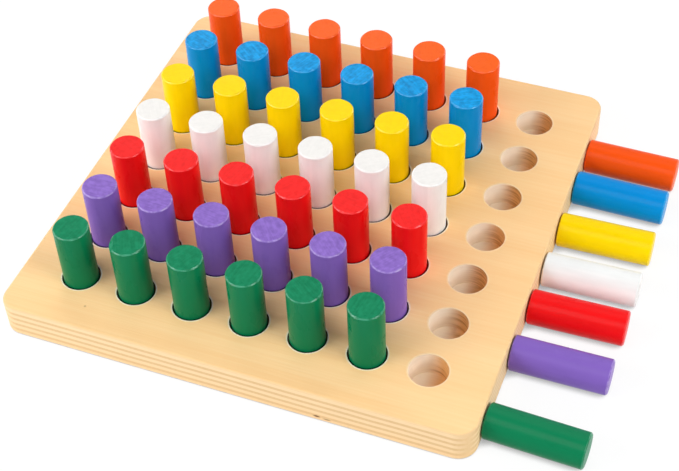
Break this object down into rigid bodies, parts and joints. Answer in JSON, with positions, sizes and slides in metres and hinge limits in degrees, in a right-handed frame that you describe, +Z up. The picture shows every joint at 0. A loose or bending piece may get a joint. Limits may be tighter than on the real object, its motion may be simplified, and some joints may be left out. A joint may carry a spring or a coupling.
{
  "type": "cylinder peg board",
  "caption": "Square plywood board with a grid of blind round holes and painted wooden cylinder pegs that lift out, with one peg of each colour lying beside its empty hole.",
  "frame": {"origin": "centre of the board's underside, on the table", "axes": "+X along the rows towards the loose pegs, +Y from the front row to the back row, +Z up"},
  "size_m": [0.3, 0.25, 0.0543],
  "materials": {
    "plywood": "sanded birch plywood under a clear satin lacquer, plies bare on the edges and hole walls",
    "paint_green": "green semi-gloss paint on a turned hardwood peg",
    "paint_purple": "purple semi-gloss paint on a turned hardwood peg",
    "paint_red": "red semi-gloss paint on a turned hardwood peg",
    "paint_white": "white semi-gloss paint on a turned hardwood peg",
    "paint_yellow": "yellow semi-gloss paint on a turned hardwood peg",
    "paint_blue": "blue semi-gloss paint on a turned hardwood peg",
    "paint_orange": "orange semi-gloss paint on a turned hardwood peg"
  },
  "bodies": {
    "board": {"board": "plywood"},
    "peg_green_1": {"peg_green_1": "paint_green"},
    "peg_green_2": {"peg_green_2": "paint_green"},
    "peg_green_3": {"peg_green_3": "paint_green"},
    "peg_green_4": {"peg_green_4": "paint_green"},
    "peg_green_5": {"peg_green_5": "paint_green"},
    "peg_green_6": {"peg_green_6": "paint_green"},
    "peg_purple_1": {"peg_purple_1": "paint_purple"},
    "peg_purple_2": {"peg_purple_2": "paint_purple"},
    "peg_purple_3": {"peg_purple_3": "paint_purple"},
    "peg_purple_4": {"peg_purple_4": "paint_purple"},
    "peg_purple_5": {"peg_purple_5": "paint_purple"},
    "peg_purple_6": {"peg_purple_6": "paint_purple"},
    "peg_red_1": {"peg_red_1": "paint_red"},
    "peg_red_2": {"peg_red_2": "paint_red"},
    "peg_red_3": {"peg_red_3": "paint_red"},
    "peg_red_4": {"peg_red_4": "paint_red"},
    "peg_red_5": {"peg_red_5": "paint_red"},
    "peg_red_6": {"peg_red_6": "paint_red"},
    "peg_white_1": {"peg_white_1": "paint_white"},
    "peg_white_2": {"peg_white_2": "paint_white"},
    "peg_white_3": {"peg_white_3": "paint_white"},
    "peg_white_4": {"peg_white_4": "paint_white"},
    "peg_white_5": {"peg_white_5": "paint_white"},
    "peg_white_6": {"peg_white_6": "paint_white"},
    "peg_yellow_1": {"peg_yellow_1": "paint_yellow"},
    "peg_yellow_2": {"peg_yellow_2": "paint_yellow"},
    "peg_yellow_3": {"peg_yellow_3": "paint_yellow"},
    "peg_yellow_4": {"peg_yellow_4": "paint_yellow"},
    "peg_yellow_5": {"peg_yellow_5": "paint_yellow"},
    "peg_yellow_6": {"peg_yellow_6": "paint_yellow"},
    "peg_blue_1": {"peg_blue_1": "paint_blue"},
    "peg_blue_2": {"peg_blue_2": "paint_blue"},
    "peg_blue_3": {"peg_blue_3": "paint_blue"},
    "peg_blue_4": {"peg_blue_4": "paint_blue"},
    "peg_blue_5": {"peg_blue_5": "paint_blue"},
    "peg_blue_6": {"peg_blue_6": "paint_blue"},
    "peg_orange_1": {"peg_orange_1": "paint_orange"},
    "peg_orange_2": {"peg_orange_2": "paint_orange"},
    "peg_orange_3": {"peg_orange_3": "paint_orange"},
    "peg_orange_4": {"peg_orange_4": "paint_orange"},
    "peg_orange_5": {"peg_orange_5": "paint_orange"},
    "peg_orange_6": {"peg_orange_6": "paint_orange"},
    "loose_peg_green": {"loose_peg_green": "paint_green"},
    "loose_peg_purple": {"loose_peg_purple": "paint_purple"},
    "loose_peg_red": {"loose_peg_red": "paint_red"},
    "loose_peg_white": {"loose_peg_white": "paint_white"},
    "loose_peg_yellow": {"loose_peg_yellow": "paint_yellow"},
    "loose_peg_blue": {"loose_peg_blue": "paint_blue"},
    "loose_peg_orange": {"loose_peg_orange": "paint_orange"}
  },
  "joints": [
    {"name": "lift_green_1", "type": "slide", "parent": "board", "child": "peg_green_1", "axis": [0, 0, 1], "range_m": [0, 0.06]},
    {"name": "lift_green_2", "type": "slide", "parent": "board", "child": "peg_green_2", "axis": [0, 0, 1], "range_m": [0, 0.06]},
    {"name": "lift_green_3", "type": "slide", "parent": "board", "child": "peg_green_3", "axis": [0, 0, 1], "range_m": [0, 0.06]},
    {"name": "lift_green_4", "type": "slide", "parent": "board", "child": "peg_green_4", "axis": [0, 0, 1], "range_m": [0, 0.06]},
    {"name": "lift_green_5", "type": "slide", "parent": "board", "child": "peg_green_5", "axis": [0, 0, 1], "range_m": [0, 0.06]},
    {"name": "lift_green_6", "type": "slide", "parent": "board", "child": "peg_green_6", "axis": [0, 0, 1], "range_m": [0, 0.06]},
    {"name": "lift_purple_1", "type": "slide", "parent": "board", "child": "peg_purple_1", "axis": [0, 0, 1], "range_m": [0, 0.06]},
    {"name": "lift_purple_2", "type": "slide", "parent": "board", "child": "peg_purple_2", "axis": [0, 0, 1], "range_m": [0, 0.06]},
    {"name": "lift_purple_3", "type": "slide", "parent": "board", "child": "peg_purple_3", "axis": [0, 0, 1], "range_m": [0, 0.06]},
    {"name": "lift_purple_4", "type": "slide", "parent": "board", "child": "peg_purple_4", "axis": [0, 0, 1], "range_m": [0, 0.06]},
    {"name": "lift_purple_5", "type": "slide", "parent": "board", "child": "peg_purple_5", "axis": [0, 0, 1], "range_m": [0, 0.06]},
    {"name": "lift_purple_6", "type": "slide", "parent": "board", "child": "peg_purple_6", "axis": [0, 0, 1], "range_m": [0, 0.06]},
    {"name": "lift_red_1", "type": "slide", "parent": "board", "child": "peg_red_1", "axis": [0, 0, 1], "range_m": [0, 0.06]},
    {"name": "lift_red_2", "type": "slide", "parent": "board", "child": "peg_red_2", "axis": [0, 0, 1], "range_m": [0, 0.06]},
    {"name": "lift_red_3", "type": "slide", "parent": "board", "child": "peg_red_3", "axis": [0, 0, 1], "range_m": [0, 0.06]},
    {"name": "lift_red_4", "type": "slide", "parent": "board", "child": "peg_red_4", "axis": [0, 0, 1], "range_m": [0, 0.06]},
    {"name": "lift_red_5", "type": "slide", "parent": "board", "child": "peg_red_5", "axis": [0, 0, 1], "range_m": [0, 0.06]},
    {"name": "lift_red_6", "type": "slide", "parent": "board", "child": "peg_red_6", "axis": [0, 0, 1], "range_m": [0, 0.06]},
    {"name": "lift_white_1", "type": "slide", "parent": "board", "child": "peg_white_1", "axis": [0, 0, 1], "range_m": [0, 0.06]},
    {"name": "lift_white_2", "type": "slide", "parent": "board", "child": "peg_white_2", "axis": [0, 0, 1], "range_m": [0, 0.06]},
    {"name": "lift_white_3", "type": "slide", "parent": "board", "child": "peg_white_3", "axis": [0, 0, 1], "range_m": [0, 0.06]},
    {"name": "lift_white_4", "type": "slide", "parent": "board", "child": "peg_white_4", "axis": [0, 0, 1], "range_m": [0, 0.06]},
    {"name": "lift_white_5", "type": "slide", "parent": "board", "child": "peg_white_5", "axis": [0, 0, 1], "range_m": [0, 0.06]},
    {"name": "lift_white_6", "type": "slide", "parent": "board", "child": "peg_white_6", "axis": [0, 0, 1], "range_m": [0, 0.06]},
    {"name": "lift_yellow_1", "type": "slide", "parent": "board", "child": "peg_yellow_1", "axis": [0, 0, 1], "range_m": [0, 0.06]},
    {"name": "lift_yellow_2", "type": "slide", "parent": "board", "child": "peg_yellow_2", "axis": [0, 0, 1], "range_m": [0, 0.06]},
    {"name": "lift_yellow_3", "type": "slide", "parent": "board", "child": "peg_yellow_3", "axis": [0, 0, 1], "range_m": [0, 0.06]},
    {"name": "lift_yellow_4", "type": "slide", "parent": "board", "child": "peg_yellow_4", "axis": [0, 0, 1], "range_m": [0, 0.06]},
    {"name": "lift_yellow_5", "type": "slide", "parent": "board", "child": "peg_yellow_5", "axis": [0, 0, 1], "range_m": [0, 0.06]},
    {"name": "lift_yellow_6", "type": "slide", "parent": "board", "child": "peg_yellow_6", "axis": [0, 0, 1], "range_m": [0, 0.06]},
    {"name": "lift_blue_1", "type": "slide", "parent": "board", "child": "peg_blue_1", "axis": [0, 0, 1], "range_m": [0, 0.06]},
    {"name": "lift_blue_2", "type": "slide", "parent": "board", "child": "peg_blue_2", "axis": [0, 0, 1], "range_m": [0, 0.06]},
    {"name": "lift_blue_3", "type": "slide", "parent": "board", "child": "peg_blue_3", "axis": [0, 0, 1], "range_m": [0, 0.06]},
    {"name": "lift_blue_4", "type": "slide", "parent": "board", "child": "peg_blue_4", "axis": [0, 0, 1], "range_m": [0, 0.06]},
    {"name": "lift_blue_5", "type": "slide", "parent": "board", "child": "peg_blue_5", "axis": [0, 0, 1], "range_m": [0, 0.06]},
    {"name": "lift_blue_6", "type": "slide", "parent": "board", "child": "peg_blue_6", "axis": [0, 0, 1], "range_m": [0, 0.06]},
    {"name": "lift_orange_1", "type": "slide", "parent": "board", "child": "peg_orange_1", "axis": [0, 0, 1], "range_m": [0, 0.06]},
    {"name": "lift_orange_2", "type": "slide", "parent": "board", "child": "peg_orange_2", "axis": [0, 0, 1], "range_m": [0, 0.06]},
    {"name": "lift_orange_3", "type": "slide", "parent": "board", "child": "peg_orange_3", "axis": [0, 0, 1], "range_m": [0, 0.06]},
    {"name": "lift_orange_4", "type": "slide", "parent": "board", "child": "peg_orange_4", "axis": [0, 0, 1], "range_m": [0, 0.06]},
    {"name": "lift_orange_5", "type": "slide", "parent": "board", "child": "peg_orange_5", "axis": [0, 0, 1], "range_m": [0, 0.06]},
    {"name": "lift_orange_6", "type": "slide", "parent": "board", "child": "peg_orange_6", "axis": [0, 0, 1], "range_m": [0, 0.06]},
    {"name": "lift_loose_green", "type": "slide", "parent": "board", "child": "loose_peg_green", "axis": [0, 0, 1], "range_m": [0, 0.06]},
    {"name": "lift_loose_purple", "type": "slide", "parent": "board", "child": "loose_peg_purple", "axis": [0, 0, 1], "range_m": [0, 0.06]},
    {"name": "lift_loose_red", "type": "slide", "parent": "board", "child": "loose_peg_red", "axis": [0, 0, 1], "range_m": [0, 0.06]},
    {"name": "lift_loose_white", "type": "slide", "parent": "board", "child": "loose_peg_white", "axis": [0, 0, 1], "range_m": [0, 0.06]},
    {"name": "lift_loose_yellow", "type": "slide", "parent": "board", "child": "loose_peg_yellow", "axis": [0, 0, 1], "range_m": [0, 0.06]},
    {"name": "lift_loose_blue", "type": "slide", "parent": "board", "child": "loose_peg_blue", "axis": [0, 0, 1], "range_m": [0, 0.06]},
    {"name": "lift_loose_orange", "type": "slide", "parent": "board", "child": "loose_peg_orange", "axis": [0, 0, 1], "range_m": [0, 0.06]}
  ]
}
